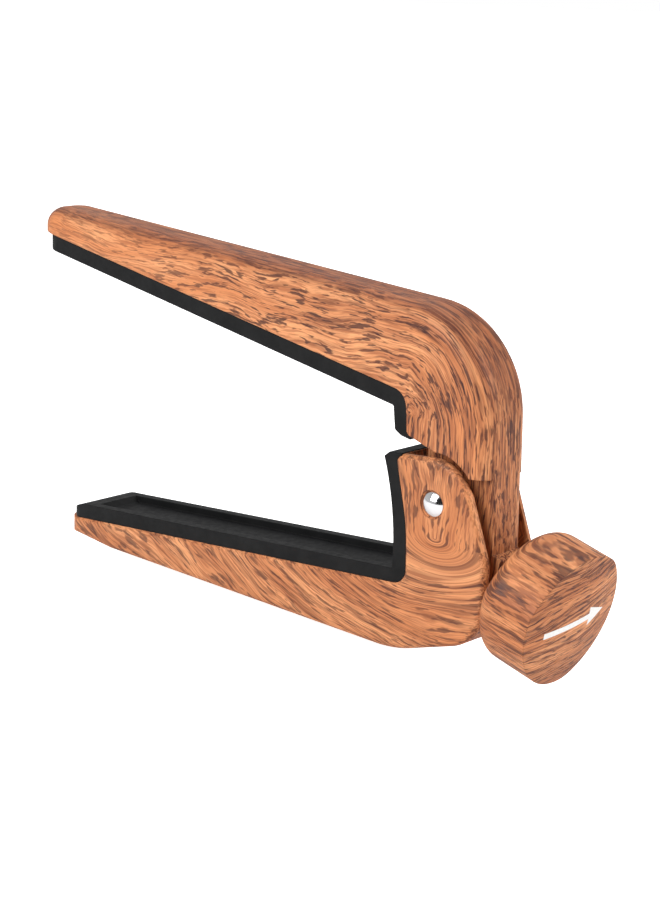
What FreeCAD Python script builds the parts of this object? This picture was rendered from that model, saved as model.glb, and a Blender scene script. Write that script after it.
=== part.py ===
import FreeCAD, Part
import math
import os

V = FreeCAD.Vector

# Clamp-on guitar capo, millimetres.  All shapes are drawn about the hinge pin:
# +X runs from the tips of the arms to the knob, +Y across the width, +Z up.
# The finished shapes are moved so that the origin lies on the flat underside of
# the lower arm, 30 mm in front of the pin.

# ---- overall place -------------------------------------------------------
UNDERSIDE_Z = -21.1
ORIGIN_X = -30.0

# ---- upper arm -----------------------------------------------------------
ARM_HALF = 4.5
UPPER_TIP_X = -79.4
TOP_FALL = 0.0526
TOP_Z_AT_0 = 24.4
UPPER_SEAT_SLOPE = -0.1574
UPPER_SEAT_Z_AT_0 = 12.37
BEND_RADIUS = 13.8
UPPER_EDGE_ROUND = 2.7
TIP_PLAN_ROUND = 3.6
TAIL_HALF = 2.65
NOSE_R = 3.2
SHOULDER_R = 6.6
LEDGE_Z = 4.3

# ---- lower arm -----------------------------------------------------------
JAW_HALF = 5.3
EAR_INNER = 4.2
LOWER_TIP_X = -71.4
LOWER_SEAT_SLOPE = 0.095
LOWER_SEAT_Z_AT_0 = -11.1
EAR_R = 5.9
LOWER_EDGE_ROUND = 0.9
HEEL_X = 8.8
WALL_INNER_X = -2.6

# ---- pads ----------------------------------------------------------------
STRING_PAD_HALF = 4.2
STRING_PAD_THICK = 2.42
NECK_PAD_HALF = 5.0
NECK_FACE_SLOPE = 0.090
NECK_FACE_Z_AT_0 = -9.45
TROUGH_DEPTH = 1.0
TROUGH_HALF = 3.6

# ---- hinge pin -----------------------------------------------------------
PIN_R = 1.5
PIN_HEAD_R = 1.76
PIN_RECESS_R = 1.9
PIN_RECESS_DEPTH = 0.25
PIN_DOME = 0.8
LOCK_SCREW_R = 0.8
BUSH_R = 2.0
RUNNING_GAP = 0.03
WASHER_R = 3.0
WASHER_GAP = 0.05

# ---- return spring -------------------------------------------------------
POCKET_HALF = 1.3
WIRE_R = 0.26
COIL_R = 2.2
COIL_TURNS = 3
COIL_PITCH = 0.62
SPRING_LEG_UP = 6.2
SPRING_LEG_DOWN = 3.4

# ---- adjusting screw, measured along its own sloping axis ------------------
SCREW_TILT = math.radians(14.0)
SCREW_DROP = 6.8
SCREW_R = 1.75
BOSS_START = 3.0
BOSS_END = 10.5
BOSS_HALF_HEIGHT = 3.6
FOOT_NOSE_R = 3.0
FOOT_NOSE_CENTRE = 2.77
FOOT_R = 2.1
FOOT_END = 2.3
PLATE_FACE_X = -2.0
PLATE_THICK = 0.8

# ---- knob ----------------------------------------------------------------
KNOB_START = 12.6
KNOB_THICK = 9.2
KNOB_SIDE = 8.7
KNOB_SIDE_R = 10.4
KNOB_LOBE_ROUND = 4.6
KNOB_CLOCKING = 47.0
KNOB_DOME_R = 42.0

AXIS_OUT = V(math.cos(SCREW_TILT), 0, -math.sin(SCREW_TILT))
AXIS_UP = V(math.sin(SCREW_TILT), 0, math.cos(SCREW_TILT))


def outline(corners):
    """Closed wire in the XZ plane from (x, z, corner radius) entries."""
    count = len(corners)
    entries = []
    for i in range(count):
        here = V(corners[i][0], 0, corners[i][1])
        before = V(corners[i - 1][0], 0, corners[i - 1][1])
        after = V(corners[(i + 1) % count][0], 0, corners[(i + 1) % count][1])
        radius = corners[i][2]
        if radius <= 0:
            entries.append((here, None, here))
            continue
        to_before = (before - here).normalize()
        to_after = (after - here).normalize()
        half = math.acos(max(-1.0, min(1.0, to_before.dot(to_after)))) / 2
        reach = radius / math.tan(half)
        bisector = (to_before + to_after).normalize()
        middle = here + bisector * (radius / math.sin(half) - radius)
        entries.append((here + to_before * reach, middle, here + to_after * reach))
    edges = []
    for i in range(count):
        start, middle, end = entries[i]
        if middle is not None:
            edges.append(Part.Arc(start, middle, end).toShape())
        following = entries[(i + 1) % count][0]
        if (following - end).Length > 1e-6:
            edges.append(Part.makeLine(end, following))
    return Part.Wire(edges)


def slab(wire, y_from, y_to):
    """Solid between two Y planes from a wire in the XZ plane."""
    face = Part.Face(wire)
    face.translate(V(0, y_from, 0))
    return face.extrude(V(0, y_to - y_from, 0))


def across(radius, y_from, y_to, x=0.0, z=0.0):
    """Cylinder along Y."""
    return Part.makeCylinder(radius, y_to - y_from, V(x, y_from, z), V(0, 1, 0))


def on_axis(along, up=0.0, y=0.0):
    """Point measured along the screw axis; up is square to it from the axis."""
    point = AXIS_OUT * along + AXIS_UP * (up - SCREW_DROP)
    return V(point.x, y, point.z)


def turned(radius, start, end):
    """Cylinder on the screw axis."""
    return Part.makeCylinder(radius, end - start, on_axis(start), AXIS_OUT)


def seat_z(slope, at_zero, x):
    return at_zero + slope * x


def long_edges(solid, y_side, wanted):
    """Edges lying in the side plane whose middle satisfies the test."""
    found = []
    for edge in solid.Edges:
        box = edge.BoundBox
        flat = box.YLength < 1e-6 and abs(abs(box.YMin) - y_side) < 1e-6
        middle = edge.valueAt((edge.FirstParameter + edge.LastParameter) / 2)
        if flat and wanted(middle):
            found.append(edge)
    return found


def tip_cutter(tip_x, half, radius):
    """Plan shape of an arm: rounded corners at its tip, plain at the other end."""
    far = 40.0
    wire = outline([
        (tip_x, -half, radius),
        (tip_x, half, radius),
        (far, half, 0),
        (far, -half, 0),
    ])
    plan = Part.Face(wire)
    plan.rotate(V(0, 0, 0), V(1, 0, 0), -90)
    plan.translate(V(0, 0, -40))
    return plan.extrude(V(0, 0, 80))


# ---- upper arm -----------------------------------------------------------
def upper_arm():
    seat_tip = seat_z(UPPER_SEAT_SLOPE, UPPER_SEAT_Z_AT_0, UPPER_TIP_X)
    body = slab(
        outline([
            (UPPER_TIP_X, seat_tip, 0),
            (UPPER_TIP_X, 28.3, 2.7),
            (6.9, seat_z(-TOP_FALL, TOP_Z_AT_0, 6.9), BEND_RADIUS),
            (8.05, -5.6, 0),
            (-NOSE_R, -5.6, 0),
            (-NOSE_R, 7.3, 0),
            (-4.8, 7.55, 0.5),
            (-5.35, 8.3, 0),
            (-5.8, 13.25, 2.4),
        ]),
        -ARM_HALF,
        ARM_HALF,
    )
    body = body.common(tip_cutter(UPPER_TIP_X, ARM_HALF, TIP_PLAN_ROUND))
    # generously rounded back: the fillet runs on from the top edges round the bend
    # and down the spine
    outer = long_edges(body, ARM_HALF, lambda p: p.z > 24 and -60 < p.x < 0)
    body = body.makeFillet(UPPER_EDGE_ROUND, outer)
    # the two sides are cut away around the ears of the lower arm
    start = V(-0.6, 0, math.sqrt(SHOULDER_R ** 2 - 0.36))
    end = V(math.sqrt(SHOULDER_R ** 2 - LEDGE_Z ** 2), 0, LEDGE_Z)
    middle = V(SHOULDER_R * math.sin(0.45), 0, SHOULDER_R * math.cos(0.45))
    below = Part.Wire([
        Part.makeLine(V(-12, 0, 9.9), start),
        Part.Arc(start, middle, end).toShape(),
        Part.makeLine(end, V(14, 0, LEDGE_Z + 0.3)),
        Part.makeLine(V(14, 0, LEDGE_Z + 0.3), V(14, 0, -12)),
        Part.makeLine(V(14, 0, -12), V(-12, 0, -12)),
        Part.makeLine(V(-12, 0, -12), V(-12, 0, 9.9)),
    ])
    for y_from, y_to in ((-6, -TAIL_HALF), (TAIL_HALF, 6)):
        body = body.cut(slab(below, y_from, y_to))
    # below the pin only the round nose, the back wall and the screw boss remain
    under_nose = slab(
        outline([(-6, -6, 0), (-6, 0, 0), (2.4, 0, 0), (2.4, -6, 0)]),
        -TAIL_HALF,
        TAIL_HALF,
    )
    body = body.cut(under_nose)
    body = body.fuse(across(NOSE_R, -TAIL_HALF, TAIL_HALF))
    body = body.fuse(screw_boss())
    # pivot bore, spring pocket with the channel for its upper leg, screw bore
    body = body.cut(across(BUSH_R, -TAIL_HALF, TAIL_HALF))
    body = body.cut(across(COIL_R + WIRE_R + 0.35, -POCKET_HALF, POCKET_HALF))
    channel = slab(
        outline([(-6, -3, 0), (-6, 6.6, 0), (-1.6, 6.6, 0), (-1.6, -3, 0)]),
        -POCKET_HALF,
        POCKET_HALF,
    )
    body = body.cut(channel)
    body = body.cut(turned(SCREW_R + 0.05, BOSS_START - 1, BOSS_END + 1))
    return body.removeSplitter()


def screw_boss():
    corners = [
        on_axis(BOSS_START, BOSS_HALF_HEIGHT),
        on_axis(BOSS_END, BOSS_HALF_HEIGHT),
        on_axis(BOSS_END, -BOSS_HALF_HEIGHT),
        on_axis(BOSS_START, -BOSS_HALF_HEIGHT),
    ]
    rounds = (0, 0.4, 1.5, 1.5)
    wire = outline([(p.x, p.z, r) for p, r in zip(corners, rounds)])
    return slab(wire, -TAIL_HALF, TAIL_HALF)


# ---- lower arm -----------------------------------------------------------
def ear_corner(from_angle, to_angle):
    """Corner whose fillet of EAR_R is concentric with the pin; angles from +Z."""
    half = (to_angle - from_angle) / 2
    middle = from_angle + half
    reach = EAR_R / math.cos(half)
    return reach * math.sin(middle), reach * math.cos(middle)


def lower_arm():
    front_top = (-6.7, 5.25)
    distance = math.hypot(*front_top)
    touch = math.atan2(*front_top) + math.acos(EAR_R / distance)
    crown_x, crown_z = ear_corner(touch, math.radians(50))
    tip_z = seat_z(LOWER_SEAT_SLOPE, LOWER_SEAT_Z_AT_0, LOWER_TIP_X)
    body = slab(
        outline([
            (LOWER_TIP_X, tip_z, 0),
            (LOWER_TIP_X, -20.3, 1.7),
            (-62.0, UNDERSIDE_Z, 20),
            (-5.6, UNDERSIDE_Z, 19),
            (HEEL_X, -16.4, 7.0),
            (HEEL_X + 0.1, -5.9, 5.0),
            (5.75, 2.33, 3.2),
            (crown_x, crown_z, EAR_R),
            (front_top[0], front_top[1], 1.1),
            (-4.45, -3.9, 22),
            (-4.1, seat_z(LOWER_SEAT_SLOPE, LOWER_SEAT_Z_AT_0, -4.1), 2.0),
        ]),
        -JAW_HALF,
        JAW_HALF,
    )
    # one fillet runs from the tip under the arm, round the heel and over the ears
    under = long_edges(body, JAW_HALF, lambda p: p.z < UNDERSIDE_Z + 0.1)
    body = body.makeFillet(LOWER_EDGE_ROUND, under)
    body = body.common(tip_cutter(LOWER_TIP_X, JAW_HALF, 2.6))
    # slot for the tail, open at the top and at the back
    slot = slab(
        outline([
            (-5.35, 9.0, 0),
            (-5.35, 5.2, 0),
            (-3.9, 0.0, 0),
            (WALL_INNER_X, -3.6, 0),
            (WALL_INNER_X, -12.6, 1.2),
            (16.0, -14.6, 0),
            (16.0, 9.0, 0),
        ]),
        -EAR_INNER,
        EAR_INNER,
    )
    body = body.cut(slot)
    # seat of the bearing plate, pin bores and the recesses round the pin heads
    body = body.cut(bearing_plate())
    body = body.cut(across(PIN_R, -6, 6))
    for side in (-1, 1):
        lip = side * (JAW_HALF + 1)
        inner = side * (JAW_HALF - PIN_RECESS_DEPTH)
        body = body.cut(across(PIN_RECESS_R, min(lip, inner), max(lip, inner)))
    return body.removeSplitter()


def bearing_plate():
    return slab(
        outline([
            (PLATE_FACE_X - PLATE_THICK, -9.3, 0),
            (PLATE_FACE_X - PLATE_THICK, -4.5, 0),
            (PLATE_FACE_X, -4.5, 0.2),
            (PLATE_FACE_X, -9.3, 0.2),
        ]),
        -2.8,
        2.8,
    )


# ---- pads ----------------------------------------------------------------
def string_pad(arm):
    face = UPPER_SEAT_Z_AT_0 - STRING_PAD_THICK * math.hypot(1, UPPER_SEAT_SLOPE)
    tip_x = UPPER_TIP_X + 1.2
    body = slab(
        outline([
            (tip_x, seat_z(UPPER_SEAT_SLOPE, UPPER_SEAT_Z_AT_0 + 1, tip_x), 0),
            (tip_x, seat_z(UPPER_SEAT_SLOPE, face, tip_x), 0.8),
            (-8.0, seat_z(UPPER_SEAT_SLOPE, face, -8.0), 0.25),
            (-7.6, 8.1, 0.5),
            (-6.5, 7.5, 0.3),
            (-5.0, 7.25, 0),
            (-3.6, 8.6, 0),
            (-4.0, 14.2, 0),
        ]),
        -STRING_PAD_HALF,
        STRING_PAD_HALF,
    )
    body = body.common(tip_cutter(tip_x, STRING_PAD_HALF, TIP_PLAN_ROUND - 0.6))
    return body.cut(arm).removeSplitter()


def neck_pad(arm):
    face = NECK_FACE_Z_AT_0
    tip_x = LOWER_TIP_X + 0.4
    tip_z = seat_z(NECK_FACE_SLOPE, face, tip_x)
    ramp = V(tip_x + 4.0, 0, seat_z(NECK_FACE_SLOPE, face, tip_x + 4.0))
    corner = V(-6.3, 0, seat_z(NECK_FACE_SLOPE, face, -6.3))
    leg_top = V(-8.45, 0, 4.6)
    body = slab(
        Part.Wire([
            Part.Arc(V(tip_x, 0, tip_z - 1.3), V(tip_x + 1.5, 0, tip_z - 0.25), ramp).toShape(),
            Part.makeLine(ramp, corner),
            Part.Arc(corner, V(-6.9, 0, -1.2), leg_top).toShape(),
            Part.makeLine(leg_top, V(-7.6, 0, 5.3)),
            Part.makeLine(V(-7.6, 0, 5.3), V(-5.6, 0, 5.45)),
            Part.makeLine(V(-5.6, 0, 5.45), V(-3.0, 0, -9.0)),
            Part.makeLine(V(-3.0, 0, -9.0), V(-3.0, 0, -14.5)),
            Part.makeLine(V(-3.0, 0, -14.5), V(tip_x, 0, tip_z - 3.6)),
            Part.makeLine(V(tip_x, 0, tip_z - 3.6), V(tip_x, 0, tip_z - 1.3)),
        ]),
        -NECK_PAD_HALF,
        NECK_PAD_HALF,
    )
    body = body.common(tip_cutter(tip_x, NECK_PAD_HALF, 2.2))
    from_x = tip_x + 6.0
    to_x = -8.7
    low = face - TROUGH_DEPTH
    trough = slab(
        outline([
            (from_x, seat_z(NECK_FACE_SLOPE, low, from_x), 0.6),
            (to_x, seat_z(NECK_FACE_SLOPE, low, to_x), 0.6),
            (to_x + 0.6, seat_z(NECK_FACE_SLOPE, face + 1, to_x), 0),
            (from_x - 1.6, seat_z(NECK_FACE_SLOPE, face + 1, from_x), 0),
        ]),
        -TROUGH_HALF,
        TROUGH_HALF,
    )
    body = body.cut(trough)
    return body.cut(arm).removeSplitter()


# ---- hinge hardware ------------------------------------------------------
def domed_head(side):
    """Low dome over the pin recess; side is -1 for the near face, 1 for the far."""
    seat = JAW_HALF - PIN_RECESS_DEPTH
    radius = (PIN_HEAD_R ** 2 + PIN_DOME ** 2) / (2 * PIN_DOME)
    centre = V(0, side * (seat + PIN_DOME - radius), 0)
    ball = Part.makeSphere(radius, centre)
    low = min(side * seat, side * (seat + PIN_DOME))
    high = max(side * seat, side * (seat + PIN_DOME))
    return ball.common(across(PIN_HEAD_R, low, high))


def pivot_barrel():
    seat = JAW_HALF - PIN_RECESS_DEPTH
    body = across(PIN_R, -seat, seat).fuse(domed_head(-1))
    return body.cut(across(LOCK_SCREW_R, 0.4, seat + 1)).removeSplitter()


def pivot_screw():
    seat = JAW_HALF - PIN_RECESS_DEPTH
    body = across(LOCK_SCREW_R, 1.0, seat).fuse(domed_head(1))
    slot = Part.makeBox(0.5, 0.45, 4.0, V(-0.25, seat + PIN_DOME - 0.45, -2.0))
    return body.cut(slot).removeSplitter()


def pivot_bush(side):
    low = min(side * POCKET_HALF, side * TAIL_HALF)
    high = max(side * POCKET_HALF, side * TAIL_HALF)
    return across(BUSH_R, low, high).cut(across(PIN_R + RUNNING_GAP, low - 1, high + 1))


def thrust_washer(side):
    low = min(side * (TAIL_HALF + WASHER_GAP), side * EAR_INNER)
    high = max(side * (TAIL_HALF + WASHER_GAP), side * EAR_INNER)
    return across(WASHER_R, low, high).cut(across(PIN_R, low - 1, high + 1))


def return_spring():
    """Three coils round the pin; one leg up in the tail, one down at the front wall."""
    half_length = COIL_TURNS * COIL_PITCH / 2
    steps = 8 * COIL_TURNS
    path = [V(-COIL_R, half_length, SPRING_LEG_UP), V(-COIL_R, half_length, SPRING_LEG_UP / 2)]
    for i in range(steps + 1):
        turn = 2 * math.pi * COIL_TURNS * i / steps
        y = half_length - 2 * half_length * i / steps
        path.append(V(-COIL_R * math.cos(turn), y, -COIL_R * math.sin(turn)))
    path.append(V(-COIL_R, -half_length, -SPRING_LEG_DOWN))
    curve = Part.BSplineCurve()
    curve.interpolate(path)
    section = Part.Wire([Part.makeCircle(WIRE_R, path[0], curve.tangent(curve.FirstParameter)[0])])
    return Part.Wire([curve.toShape()]).makePipeShell([section], True, False)


# ---- screw line ----------------------------------------------------------
def adjusting_screw():
    body = turned(SCREW_R, BOSS_START - 0.1, KNOB_START + 4.6)
    body = body.fuse(turned(0.75, 1.3, BOSS_START))
    ball = Part.makeSphere(1.05, on_axis(0.62 + 0.75))
    body = body.fuse(ball.common(turned(1.3, 0.62, 1.6)))
    return body.removeSplitter()


def pressure_foot():
    nose = Part.makeSphere(FOOT_NOSE_R, on_axis(FOOT_NOSE_CENTRE))
    body = turned(FOOT_R, FOOT_NOSE_CENTRE - FOOT_NOSE_R - 0.5, FOOT_END)
    body = body.common(nose.fuse(turned(FOOT_R, FOOT_NOSE_CENTRE - 1.5, FOOT_END)))
    body = body.cut(turned(1.15, 0.5, FOOT_END + 1))
    body = body.cut(foot_ring_blank())
    return body.removeSplitter()


def foot_ring_blank():
    return turned(1.4, 1.85, 2.15)


def foot_ring():
    return foot_ring_blank().cut(turned(0.82, 1.0, 3.0))


def knob_section():
    """Three lobes joined by bowed sides, square to the screw axis at the origin."""
    shift = KNOB_SIDE_R - KNOB_SIDE
    body = None
    for i in range(3):
        angle = math.radians(KNOB_CLOCKING + 120 * i)
        centre = V(shift * math.cos(angle), shift * math.sin(angle), 0)
        disc = Part.makeCylinder(KNOB_SIDE_R, KNOB_THICK, centre, V(0, 0, 1))
        body = disc if body is None else body.common(disc)
    corners = []
    for edge in body.Edges:
        if edge.BoundBox.ZLength > KNOB_THICK * 0.9 and len(edge.Vertexes) == 2:
            corners.append(edge)
    return body.makeFillet(KNOB_LOBE_ROUND, corners)


def knob():
    body = knob_section()
    inner_rim = []
    outer_rim = []
    for edge in body.Edges:
        if edge.BoundBox.ZLength < 1e-6:
            if edge.BoundBox.ZMin < 0.01:
                inner_rim.append(edge)
            else:
                outer_rim.append(edge)
    body = body.makeFillet(2.2, inner_rim)
    dome = Part.makeSphere(KNOB_DOME_R, V(0, 0, KNOB_THICK - KNOB_DOME_R))
    body = body.common(dome)
    body = body.cut(Part.makeCylinder(2.6, 5.0, V(0, 0, 0), V(0, 0, 1)))
    return place_on_axis(body, KNOB_START)


def knob_insert():
    body = Part.makeCylinder(2.6, 5.0, V(0, 0, 0), V(0, 0, 1))
    body = body.cut(Part.makeCylinder(SCREW_R, 4.6, V(0, 0, 0), V(0, 0, 1)))
    return place_on_axis(body, KNOB_START)


def place_on_axis(body, start):
    """Lay a shape drawn up the Z axis along the screw axis, its X to +Y."""
    matrix = FreeCAD.Matrix()
    point = on_axis(start)
    columns = (V(0, 1, 0), AXIS_UP, AXIS_OUT)
    matrix.A11, matrix.A21, matrix.A31 = columns[0].x, columns[0].y, columns[0].z
    matrix.A12, matrix.A22, matrix.A32 = columns[1].x, columns[1].y, columns[1].z
    matrix.A13, matrix.A23, matrix.A33 = columns[2].x, columns[2].y, columns[2].z
    matrix.A14, matrix.A24, matrix.A34 = point.x, point.y, point.z
    placed = body.copy()
    placed.Placement = FreeCAD.Placement(matrix)
    return placed


os.makedirs("parts", exist_ok=True)

upper = upper_arm()
lower = lower_arm()
pieces = {
    "upper_arm": upper,
    "lower_arm": lower,
    "string_pad": string_pad(upper),
    "neck_pad": neck_pad(lower),
    "pivot_barrel": pivot_barrel(),
    "pivot_screw": pivot_screw(),
    "pivot_bush_near": pivot_bush(-1),
    "pivot_bush_far": pivot_bush(1),
    "thrust_washer_near": thrust_washer(-1),
    "thrust_washer_far": thrust_washer(1),
    "return_spring": return_spring(),
    "bearing_plate": bearing_plate(),
    "adjusting_screw": adjusting_screw(),
    "pressure_foot": pressure_foot(),
    "foot_ring": foot_ring(),
    "knob": knob(),
    "knob_insert": knob_insert(),
}

for name, shape in pieces.items():
    placed = shape.copy()
    placed.translate(V(-ORIGIN_X, 0, -UNDERSIDE_Z))
    placed.exportStep("parts/" + name + ".step")
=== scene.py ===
"""Looks of the guitar capo: printed wood-grain film, rubber pads, polished hinge pin, studio and camera."""

import math

import bmesh
import bpy
from mathutils import Matrix, Vector


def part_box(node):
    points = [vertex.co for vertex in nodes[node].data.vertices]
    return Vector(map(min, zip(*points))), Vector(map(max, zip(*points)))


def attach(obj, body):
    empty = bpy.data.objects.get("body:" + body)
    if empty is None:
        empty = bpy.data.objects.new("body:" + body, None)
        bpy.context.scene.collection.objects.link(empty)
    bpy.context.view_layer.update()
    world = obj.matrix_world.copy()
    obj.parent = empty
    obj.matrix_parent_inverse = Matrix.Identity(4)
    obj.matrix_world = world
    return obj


# Lengths are in millimetres and MM brings them to metres, except where a comment says metres.
MM = 0.001

# The hinge pin, from which the camera and the grain are placed.
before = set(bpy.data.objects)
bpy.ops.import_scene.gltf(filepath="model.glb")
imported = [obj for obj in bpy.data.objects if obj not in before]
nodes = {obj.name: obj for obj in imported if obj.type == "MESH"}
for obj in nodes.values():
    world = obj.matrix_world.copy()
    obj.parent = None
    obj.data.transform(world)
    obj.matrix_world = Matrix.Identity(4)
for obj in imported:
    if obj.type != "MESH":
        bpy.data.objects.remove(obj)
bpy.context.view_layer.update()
barrel_low, barrel_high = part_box("pivot_barrel")
PIN = Vector(((barrel_low.x + barrel_high.x) / 2, 0, (barrel_low.z + barrel_high.z) / 2))
PIN_X, PIN_Z = PIN.x / MM, PIN.z / MM

# Camera, given about the hinge pin, with its angles in degrees.
CAMERA_AZIMUTH = 42.965
CAMERA_ELEVATION = 12.970
CAMERA_DISTANCE = 242.39
CAMERA_RIGHT = 16.374
CAMERA_UP = -6.02
LEVEL_TILT = 2.9
LENS = 76.0
SENSOR = 36.0

# Screw and knob: the screw's axis passes SCREW_DROP under the pin, and lengths along it are from there.
SCREW_TILT = math.radians(14.0)
SCREW_DROP = 6.8
ACROSS = Vector((0, 1, 0))
AXIS_OUT = Vector((math.cos(SCREW_TILT), 0, -math.sin(SCREW_TILT)))
AXIS_UP = Vector((math.sin(SCREW_TILT), 0, math.cos(SCREW_TILT)))
AXIS_START = Vector((PIN_X, 0, PIN_Z)) - AXIS_UP * SCREW_DROP
KNOB_MIDDLE = 17.0
KNOB_FACE = 21.8
KNOB_DOME_R = 42.0
KNOB_GRAIN = math.radians(13.0)
KNOB_DEPTH_RATE = 0.09

# Arrow printed on the knob's face, made of short stretches so that it follows the dome.
SHAFT_START = -6.0
SHAFT_STEP = 0.6
SHAFT_STATIONS = 15
SHAFT_HALF = 0.42
HEAD_START = 2.4
HEAD_STEP = 0.4
HEAD_STATIONS = 9
HEAD_HALF = 1.35
HEAD_NARROWING = 0.1688
ARROW_UP = 0.3
ARROW_TILT = math.radians(6.5)
ARROW_LIFT = 0.015

# Grain of the upper arm: it follows the top, turns about the inner corner and runs down the tail. The back's
# colours give way to the sides' between BACK_HALF and SIDE_HALF from the middle plane, and its painted
# shade, a darker band for the weaker light on the top, grows from SHADE_LOW to SHADE_HIGH.
TOP_FALL = 0.0526
BEND_X = PIN_X - 6.0
BEND_Z = PIN_Z + 10.5
BEND_MEAN_R = 10.0
BACK_HALF = 3.1
SIDE_HALF = 4.4
SHADE_LOW = PIN_Z + 8.0
SHADE_HIGH = PIN_Z + 19.0

# Grain of the lower arm: long ovals about a point under the pin, which level out beyond OVAL_REACH.
OVAL_X = PIN_X + 0.8
OVAL_Z = PIN_Z - 4.2
OVAL_STRETCH = 1.9
OVAL_REACH = 40.0
OVAL_MEAN_R = 9.0
OVAL_CORE = 3.0

# Studio: the floor lies low enough for the lower arm to open above it.
FLOOR_Z = -2.9
FLOOR_RADIUS = 3000.0
FLOOR_GLOW = 0.85
LIT_HEIGHT = 22.0
DARK_SIDE = (0.62, -0.75, 0.22)
WHITE = (1, 1, 1, 1)


class Look:
    """A node material under construction. Positions in it are in millimetres, in the part's own frame."""

    def __init__(self, name):
        self.material = bpy.data.materials.new(name)
        self.material.use_nodes = True
        self.tree = self.material.node_tree
        self.shader = self.tree.nodes["Principled BSDF"]
        place = self.tree.nodes.new("ShaderNodeTexCoord").outputs["Object"]
        scaled = self.tree.nodes.new("ShaderNodeVectorMath")
        scaled.operation = "SCALE"
        scaled.inputs["Scale"].default_value = 1.0 / MM
        self.tree.links.new(place, scaled.inputs[0])
        self.place = scaled.outputs[0]
        split = self.tree.nodes.new("ShaderNodeSeparateXYZ")
        self.tree.links.new(self.place, split.inputs[0])
        self.x, self.y, self.z = split.outputs

    def feed(self, socket, value):
        if isinstance(value, bpy.types.NodeSocket):
            self.tree.links.new(value, socket)
        else:
            socket.default_value = value

    def math(self, operation, *values):
        node = self.tree.nodes.new("ShaderNodeMath")
        node.operation = operation
        for socket, value in zip(node.inputs, values):
            self.feed(socket, value)
        return node.outputs[0]

    def add(self, a, b):
        return self.math("ADD", a, b)

    def minus(self, a, b):
        return self.math("SUBTRACT", a, b)

    def times(self, a, b):
        return self.math("MULTIPLY", a, b)

    def length(self, a, b):
        return self.math("SQRT", self.add(self.times(a, a), self.times(b, b)))

    def vector(self, x, y, z):
        node = self.tree.nodes.new("ShaderNodeCombineXYZ")
        for socket, value in zip(node.inputs, (x, y, z)):
            self.feed(socket, value)
        return node.outputs[0]

    def dot(self, direction, origin=(0, 0, 0)):
        """How far the point lies from origin along direction."""
        shift = self.tree.nodes.new("ShaderNodeVectorMath")
        shift.operation = "SUBTRACT"
        self.tree.links.new(self.place, shift.inputs[0])
        shift.inputs[1].default_value = origin
        node = self.tree.nodes.new("ShaderNodeVectorMath")
        node.operation = "DOT_PRODUCT"
        self.tree.links.new(shift.outputs[0], node.inputs[0])
        node.inputs[1].default_value = direction
        return node.outputs["Value"]

    def noise(self, vector, scale=1.0, detail=2.0, roughness=0.5):
        node = self.tree.nodes.new("ShaderNodeTexNoise")
        self.feed(node.inputs["Vector"], vector)
        node.inputs["Scale"].default_value = scale
        node.inputs["Detail"].default_value = detail
        node.inputs["Roughness"].default_value = roughness
        return node.outputs[0]

    def centred(self, vector, amount, **settings):
        """Noise about zero, amount wide."""
        return self.times(self.minus(self.noise(vector, **settings), 0.5), amount)

    def ease(self, value, low, high, out_low=0.0, out_high=1.0):
        node = self.tree.nodes.new("ShaderNodeMapRange")
        node.interpolation_type = "SMOOTHSTEP"
        for socket, number in zip(node.inputs, (value, low, high, out_low, out_high)):
            self.feed(socket, number)
        return node.outputs[0]

    def mix(self, share, a, b):
        node = self.tree.nodes.new("ShaderNodeMix")
        node.data_type = "RGBA"
        self.feed(node.inputs[0], share)
        self.feed(node.inputs[6], a)
        self.feed(node.inputs[7], b)
        return node.outputs[2]

    def bump(self, height, depth_mm, strength=1.0, normal=None):
        node = self.tree.nodes.new("ShaderNodeBump")
        node.inputs["Strength"].default_value = strength
        node.inputs["Distance"].default_value = depth_mm * MM
        self.tree.links.new(height, node.inputs["Height"])
        if normal is not None:
            self.tree.links.new(normal, node.inputs["Normal"])
        return node.outputs[0]

    def eased_edges(self, radius_mm):
        node = self.tree.nodes.new("ShaderNodeBevel")
        node.samples = 6
        node.inputs["Radius"].default_value = radius_mm * MM
        return node.outputs[0]

    def set(self, **inputs):
        for name, value in inputs.items():
            self.feed(self.shader.inputs[name.replace("_", " ")], value)

    def put_on(self, *names):
        for name in names:
            slots = nodes[name].data.materials
            slots.clear()
            slots.append(self.material)


# Colours of the printed film, from the light ground to the darkest dashes; RUST and UMBER also paint shade.
TAN = (0.86, 0.385, 0.170, 1)
HONEY = (0.68, 0.255, 0.098, 1)
RUST = (0.36, 0.112, 0.046, 1)
UMBER = (0.095, 0.030, 0.020, 1)
PLUM = (0.036, 0.016, 0.018, 1)

# Wander of the grain lines: rates along and across the grain (1/mm), width (mm) and noise detail.
WANDERS = ((0.055, 0.11, 4.2, 1.0), (0.38, 0.70, 0.45, 2.0))

# The film has a fine lattice of its own; this is its phase, in radians a millimetre.
LATTICE_PER_MM = 34.0


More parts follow.
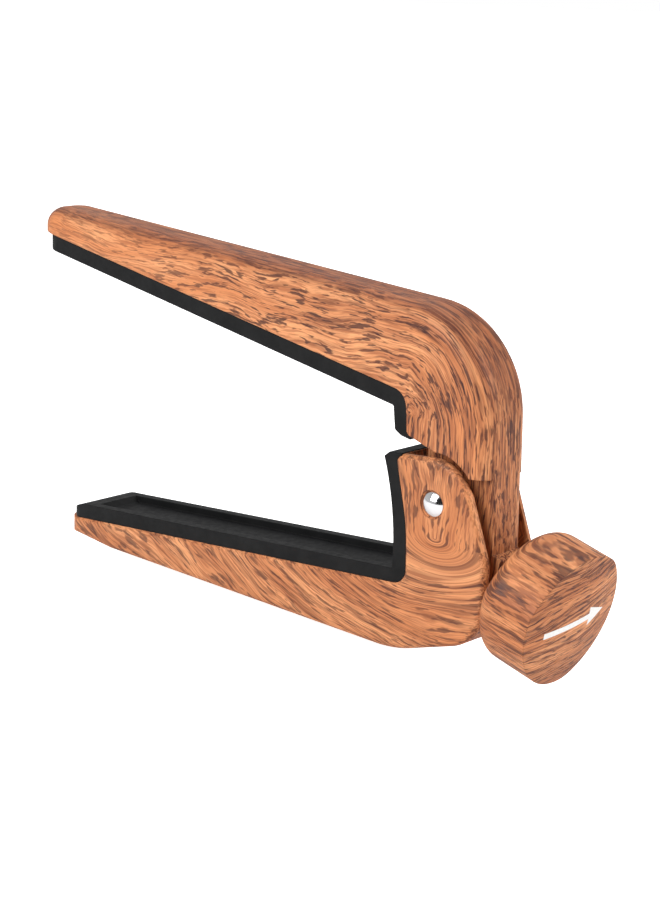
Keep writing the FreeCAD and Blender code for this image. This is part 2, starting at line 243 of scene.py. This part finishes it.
def wood_film(look, across, along, third, streak, blotch, shade, relief_mm=0.035):
    """The printed film. Grain lines run where across is constant; streak, blotch and shade are 0 to 1 and
    say how much of long lines, of short dashes and of the painted shade band shows."""
    bent = across
    for rate, side_rate, width, detail in WANDERS:
        place = look.vector(
            look.times(along, rate), look.times(across, side_rate), look.times(third, side_rate)
        )
        bent = look.add(bent, look.centred(place, width, detail=detail))

    def strand(fine, long, detail=3.0, lift=0.0):
        """Noise drawn out along the grain, at fine across it and long along it (1/mm)."""
        place = look.vector(
            look.add(look.times(bent, fine), lift), look.times(along, long), look.times(third, fine * 0.8)
        )
        return look.noise(place, detail=detail, roughness=0.55)

    tone = strand(0.30, 0.035)
    bands = strand(0.75, 0.060, lift=7.3)
    lines = strand(3.3, 0.11, detail=2.0, lift=3.1)
    dashes = strand(2.9, 0.36, detail=2.0, lift=11.7)
    threads = strand(5.2, 0.22, detail=1.0, lift=17.9)
    fibres = strand(9.0, 0.60, detail=2.0, lift=5.9)
    cluster = look.ease(bands, 0.36, 0.60)
    colour = look.mix(look.ease(tone, 0.34, 0.64), TAN, HONEY)
    colour = look.mix(look.times(cluster, look.add(look.times(streak, 0.50), 0.10)), colour, RUST)
    colour = look.mix(look.times(look.ease(threads, 0.47, 0.62), 0.62), colour, RUST)
    dark_line = look.times(look.ease(lines, 0.50, 0.585), look.add(look.times(cluster, 0.75), 0.25))
    dark_line = look.times(dark_line, look.add(look.times(streak, 0.85), 0.12))
    colour = look.mix(dark_line, colour, UMBER)
    dark_dash = look.times(look.ease(dashes, 0.54, 0.62), look.add(look.times(blotch, 0.92), 0.06))
    colour = look.mix(dark_dash, colour, PLUM)
    # Painted shade: where shade is given, the colour darkens towards rust and umber in place of lighting.
    colour = look.mix(look.times(shade, 0.68), colour, look.mix(look.ease(lines, 0.36, 0.58), RUST, UMBER))
    colour = look.mix(look.ease(fibres, 0.42, 0.66, 0.0, 0.30), colour, RUST)
    relief = look.minus(1.0, look.math("MAXIMUM", dark_line, dark_dash))
    relief = look.add(relief, look.times(fibres, 0.35))
    lattice = look.times(
        look.math("SINE", look.times(look.add(along, across), LATTICE_PER_MM)),
        look.math("SINE", look.times(look.minus(along, across), LATTICE_PER_MM)),
    )
    normal = look.bump(lattice, 0.0035, 0.5, look.eased_edges(0.22))
    normal = look.bump(relief, relief_mm, 0.8, normal)
    look.set(
        Base_Color=colour,
        Roughness=look.ease(fibres, 0.3, 0.7, 0.38, 0.50),
        Normal=normal,
    )
    look.shader.inputs["Specular IOR Level"].default_value = 0.20
    look.shader.inputs["Coat Weight"].default_value = 0.04
    look.shader.inputs["Coat Roughness"].default_value = 0.25


def upper_arm_film():
    """More long lines towards the bend and along the back, whose upper part also gets painted shade."""
    look = Look("wood_film_upper")
    from_bend_x = look.minus(look.x, BEND_X)
    from_bend_z = look.add(look.minus(look.z, BEND_Z), look.times(from_bend_x, TOP_FALL))
    beyond_x = look.math("MAXIMUM", from_bend_x, 0.0)
    beyond_z = look.math("MAXIMUM", from_bend_z, 0.0)
    before_x = look.math("MINIMUM", from_bend_x, 0.0)
    before_z = look.math("MINIMUM", from_bend_z, 0.0)
    turn = look.times(look.math("ARCTAN2", beyond_x, beyond_z), BEND_MEAN_R)
    along = look.minus(look.add(before_x, turn), before_z)
    back = look.minus(1.0, look.ease(look.math("ABSOLUTE", look.y), BACK_HALF, SIDE_HALF))
    rear = look.ease(along, -45.0, 2.0)
    # Painted shade on the back: darker higher up, for the weaker light on the top.
    high = look.ease(look.z, SHADE_LOW, SHADE_HIGH, 0.12, 1.0)
    wood_film(
        look,
        look.length(beyond_x, beyond_z),
        along,
        look.y,
        streak=look.times(look.math("MAXIMUM", rear, back), 0.82),
        blotch=look.ease(along, -70.0, -25.0, 0.30, 0.85),
        shade=look.times(back, high),
    )
    look.put_on("upper_arm")


def lower_arm_film():
    """Ovals below the pin; above OVAL_Z the lines run straight up the ears."""
    look = Look("wood_film_lower")
    from_oval_z = look.minus(look.z, OVAL_Z)
    plain_x = look.times(look.minus(look.x, OVAL_X), 1.0 / OVAL_STRETCH)
    levelling = look.math("SQRT", look.add(look.times(plain_x, plain_x), OVAL_REACH**2))
    oval_x = look.math("DIVIDE", look.times(plain_x, OVAL_REACH), levelling)
    oval_z = look.math("MINIMUM", from_oval_z, 0.0)
    turn = look.times(look.math("ARCTAN2", oval_x, look.minus(OVAL_CORE, oval_z)), -OVAL_MEAN_R)
    along = look.add(look.add(turn, look.x), look.math("MAXIMUM", from_oval_z, 0.0))
    wood_film(look, look.length(oval_x, oval_z), along, look.y, streak=0.50, blotch=0.66, shade=0.0)
    look.put_on("lower_arm")


def knob_film():
    """Plain slices through one block that changes slowly along the axis, so that the walls show the same
    lines as the face."""
    look = Look("wood_film_knob")
    across = AXIS_UP * math.cos(KNOB_GRAIN) - ACROSS * math.sin(KNOB_GRAIN)
    along = AXIS_UP * math.sin(KNOB_GRAIN) + ACROSS * math.cos(KNOB_GRAIN)
    centre = AXIS_START + AXIS_OUT * KNOB_MIDDLE
    wood_film(
        look,
        look.dot(across, centre),
        look.dot(along, centre),
        look.times(look.dot(AXIS_OUT, centre), KNOB_DEPTH_RATE),
        streak=0.85,
        blotch=0.75,
        shade=0.0,
        relief_mm=0.11,
    )
    look.put_on("knob")


def on_knob_face(run, sideways):
    """Point just above the knob's dome, given along the arrow and across it."""
    y = run * math.cos(ARROW_TILT) - sideways * math.sin(ARROW_TILT)
    height = run * math.sin(ARROW_TILT) + sideways * math.cos(ARROW_TILT) + ARROW_UP
    fall = KNOB_DOME_R - math.sqrt(KNOB_DOME_R**2 - y**2 - height**2)
    return (AXIS_START + AXIS_OUT * (KNOB_FACE - fall + ARROW_LIFT) + AXIS_UP * height + ACROSS * y) * MM


def knob_arrow():
    """Plain white arrow, a thin print that follows the dome."""
    stations = [(SHAFT_START + SHAFT_STEP * i, SHAFT_HALF) for i in range(SHAFT_STATIONS)]
    stations += [(HEAD_START + HEAD_STEP * i, HEAD_HALF - HEAD_NARROWING * i) for i in range(HEAD_STATIONS)]
    mesh = bpy.data.meshes.new("knob_arrow")
    shaper = bmesh.new()
    rows = [[shaper.verts.new(on_knob_face(run, half * k)) for k in (-1, 0, 1)] for run, half in stations]
    for row, following in zip(rows, rows[1:]):
        for i in range(2):
            shaper.faces.new((row[i], following[i], following[i + 1], row[i + 1]))
    shaper.to_mesh(mesh)
    shaper.free()
    mark = bpy.data.objects.new("knob_arrow", mesh)
    bpy.context.scene.collection.objects.link(mark)
    look = Look("white_print")
    worn = look.noise(look.place, scale=2.6, detail=4.0)
    look.set(
        Base_Color=look.mix(look.ease(worn, 0.3, 0.7), (0.84, 0.82, 0.79, 1), (0.93, 0.92, 0.90, 1)),
        Roughness=look.ease(worn, 0.3, 0.7, 0.42, 0.55),
        Normal=look.bump(worn, 0.01, 0.4),
    )
    mesh.materials.append(look.material)
    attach(mark, "screw")


def pad_rubber():
    look = Look("pad_rubber")
    grain = look.noise(look.place, scale=5.0, detail=3.0)
    cloudy = look.noise(look.place, scale=0.22, detail=3.0)
    worn = look.noise(look.place, scale=1.1, detail=2.0)
    dark = (0.0065, 0.0067, 0.0071, 1)
    light = (0.0100, 0.0102, 0.0106, 1)
    look.set(
        Base_Color=look.mix(look.ease(cloudy, 0.35, 0.65), dark, light),
        Roughness=look.ease(worn, 0.3, 0.7, 0.48, 0.6),
        Normal=look.bump(grain, 0.02, 0.5, look.eased_edges(0.2)),
    )
    look.shader.inputs["Specular IOR Level"].default_value = 0.14
    look.put_on("string_pad", "neck_pad")


def metal(name, colour, dull, roughness, turned_axis=None):
    """Bare metal: colour varies to dull, with fine scratches or turning lines along turned_axis."""
    look = Look(name)
    if turned_axis is None:
        lines = look.noise(look.place, scale=2.5, detail=4.0, roughness=0.7)
    else:
        run = look.dot(turned_axis)
        lines = look.noise(look.vector(look.times(run, 9.0), 0.0, 0.0), detail=3.0)
    patches = look.noise(look.place, scale=0.6, detail=2.0)
    look.set(
        Base_Color=look.mix(look.ease(patches, 0.35, 0.7), colour, dull),
        Roughness=look.ease(lines, 0.3, 0.7, roughness * 0.7, roughness * 1.4),
        Normal=look.bump(lines, 0.006, 0.4, look.eased_edges(0.08)),
    )
    look.shader.inputs["Metallic"].default_value = 1.0
    return look


def nylon():
    look = Look("nylon")
    speckle = look.noise(look.place, scale=3.0, detail=3.0)
    dark = (0.030, 0.030, 0.031, 1)
    light = (0.050, 0.050, 0.052, 1)
    look.set(
        Base_Color=look.mix(look.ease(speckle, 0.35, 0.65), dark, light),
        Roughness=look.ease(speckle, 0.3, 0.7, 0.42, 0.58),
        Normal=look.bump(speckle, 0.01, 0.4),
    )
    look.put_on("thrust_washer_near", "thrust_washer_far")


def hardware():
    pin_steel = metal("polished_steel", (0.86, 0.86, 0.87, 1), (0.80, 0.80, 0.82, 1), 0.07)
    pin_steel.put_on("pivot_barrel", "pivot_screw")
    spring_steel = metal("spring_steel", (0.60, 0.60, 0.61, 1), (0.42, 0.42, 0.44, 1), 0.26)
    spring_steel.put_on("return_spring", "bearing_plate", "foot_ring")
    screw_steel = metal("screw_steel", (0.56, 0.56, 0.57, 1), (0.38, 0.39, 0.41, 1), 0.30, AXIS_OUT)
    screw_steel.put_on("adjusting_screw")
    pin_bronze = metal("bronze_pin", (0.66, 0.46, 0.20, 1), (0.46, 0.30, 0.12, 1), 0.28, ACROSS)
    pin_bronze.put_on("pivot_bush_near", "pivot_bush_far")
    screw_bronze = metal("bronze_screw", (0.70, 0.50, 0.22, 1), (0.48, 0.32, 0.13, 1), 0.28, AXIS_OUT)
    screw_bronze.put_on("pressure_foot", "knob_insert")


def studio_floor():
    """Pale paper, with a glow that only the camera sees, so that it doesn't light the capo from below."""
    mesh = bpy.data.meshes.new("floor")
    shaper = bmesh.new()
    bmesh.ops.create_circle(shaper, cap_ends=True, segments=96, radius=FLOOR_RADIUS * MM)
    shaper.to_mesh(mesh)
    shaper.free()
    floor = bpy.data.objects.new("floor", mesh)
    floor.location.z = FLOOR_Z * MM
    bpy.context.scene.collection.objects.link(floor)
    look = Look("floor_paper")
    paper = look.noise(look.place, scale=0.05, detail=2.0)
    for_camera = look.tree.nodes.new("ShaderNodeLightPath").outputs["Is Camera Ray"]
    look.set(
        Base_Color=look.mix(look.ease(paper, 0.3, 0.7), (0.92, 0.92, 0.92, 1), (0.95, 0.95, 0.95, 1)),
        Roughness=0.9,
        Emission_Strength=look.times(for_camera, FLOOR_GLOW),
    )
    look.shader.inputs["Emission Color"].default_value = WHITE
    mesh.materials.append(look.material)


def studio_room():
    """White for the camera. Its light is a little stronger low down, and one side is darker, which the
    polished pin reflects."""
    world = bpy.data.worlds.new("studio")
    bpy.context.scene.world = world
    world.use_nodes = True
    tree = world.node_tree
    place = tree.nodes.new("ShaderNodeTexCoord").outputs["Generated"]

    def dim(direction, low, high, at_low, at_high):
        """Strength from at_low to at_high as the ray turns towards direction."""
        towards = tree.nodes.new("ShaderNodeVectorMath")
        towards.operation = "DOT_PRODUCT"
        tree.links.new(place, towards.inputs[0])
        towards.inputs[1].default_value = direction
        strength = tree.nodes.new("ShaderNodeMapRange")
        strength.interpolation_type = "SMOOTHSTEP"
        tree.links.new(towards.outputs["Value"], strength.inputs[0])
        for socket, number in zip(strength.inputs[1:5], (low, high, at_low, at_high)):
            socket.default_value = number
        return strength.outputs[0]

    room = tree.nodes.new("ShaderNodeMath")
    room.operation = "MULTIPLY"
    low_light = dim((0, 0, 1), low=-0.2, high=0.9, at_low=0.58, at_high=0.42)
    side_light = dim(DARK_SIDE, low=0.72, high=0.93, at_low=1.0, at_high=0.05)
    tree.links.new(low_light, room.inputs[0])
    tree.links.new(side_light, room.inputs[1])
    seen = tree.nodes.new("ShaderNodeMix")
    tree.links.new(tree.nodes.new("ShaderNodeLightPath").outputs["Is Camera Ray"], seen.inputs[0])
    tree.links.new(room.outputs[0], seen.inputs[2])
    seen.inputs[3].default_value = 1.0
    background = tree.nodes["Background"]
    tree.links.new(seen.outputs[0], background.inputs["Strength"])
    background.inputs["Color"].default_value = WHITE


def place_camera():
    """Sets the camera and returns its directions."""
    azimuth = math.radians(CAMERA_AZIMUTH)
    elevation = math.radians(CAMERA_ELEVATION)
    right = Vector((math.cos(azimuth), math.sin(azimuth), 0))
    inward = Vector((-math.sin(azimuth), math.cos(azimuth), 0))
    forward = inward * math.cos(elevation) - Vector((0, 0, 1)) * math.sin(elevation)
    up = right.cross(forward)
    spot = -(right * CAMERA_RIGHT + up * CAMERA_UP + forward * CAMERA_DISTANCE)
    level = Matrix.Rotation(-math.radians(LEVEL_TILT), 3, "Y")
    right = level @ right
    up = level @ up
    forward = level @ forward
    data = bpy.data.cameras.new("camera")
    data.lens = LENS
    data.sensor_width = SENSOR
    data.clip_start = 10.0 * MM
    data.clip_end = 20000.0 * MM
    camera = bpy.data.objects.new("camera", data)
    bpy.context.scene.collection.objects.link(camera)
    turned = Matrix((right, up, -forward)).transposed().to_4x4()
    camera.matrix_world = Matrix.Translation(level @ spot * MM + PIN) @ turned
    bpy.context.scene.camera = camera
    return right, up, forward


def soft_light(name, direction, distance, size, power):
    """A square softbox that looks at the middle of the capo from direction; distance and size in metres."""
    data = bpy.data.lights.new(name, "AREA")
    data.shape = "SQUARE"
    data.size = size
    data.energy = power
    light = bpy.data.objects.new(name, data)
    bpy.context.scene.collection.objects.link(light)
    direction = direction.normalized()
    light.location = Vector((0, 0, LIT_HEIGHT * MM)) + direction * distance
    light.rotation_mode = "QUATERNION"
    light.rotation_quaternion = direction.to_track_quat("Z", "Y")


upper_arm_film()
lower_arm_film()
knob_film()
knob_arrow()
pad_rubber()
hardware()
nylon()
studio_floor()
studio_room()
right, up, forward = place_camera()
soft_light("key", -forward * 0.75 - right * 0.75 + up * 0.5, distance=0.55, size=0.40, power=2.5)
soft_light("fill", -forward * 0.5 + right * 0.9 + up * 0.5, distance=0.60, size=0.45, power=2.0)
soft_light("top", forward * 0.2 + up, distance=0.60, size=0.45, power=0.7)

view = bpy.context.scene.view_settings
view.view_transform = "Standard"
view.look = "None"
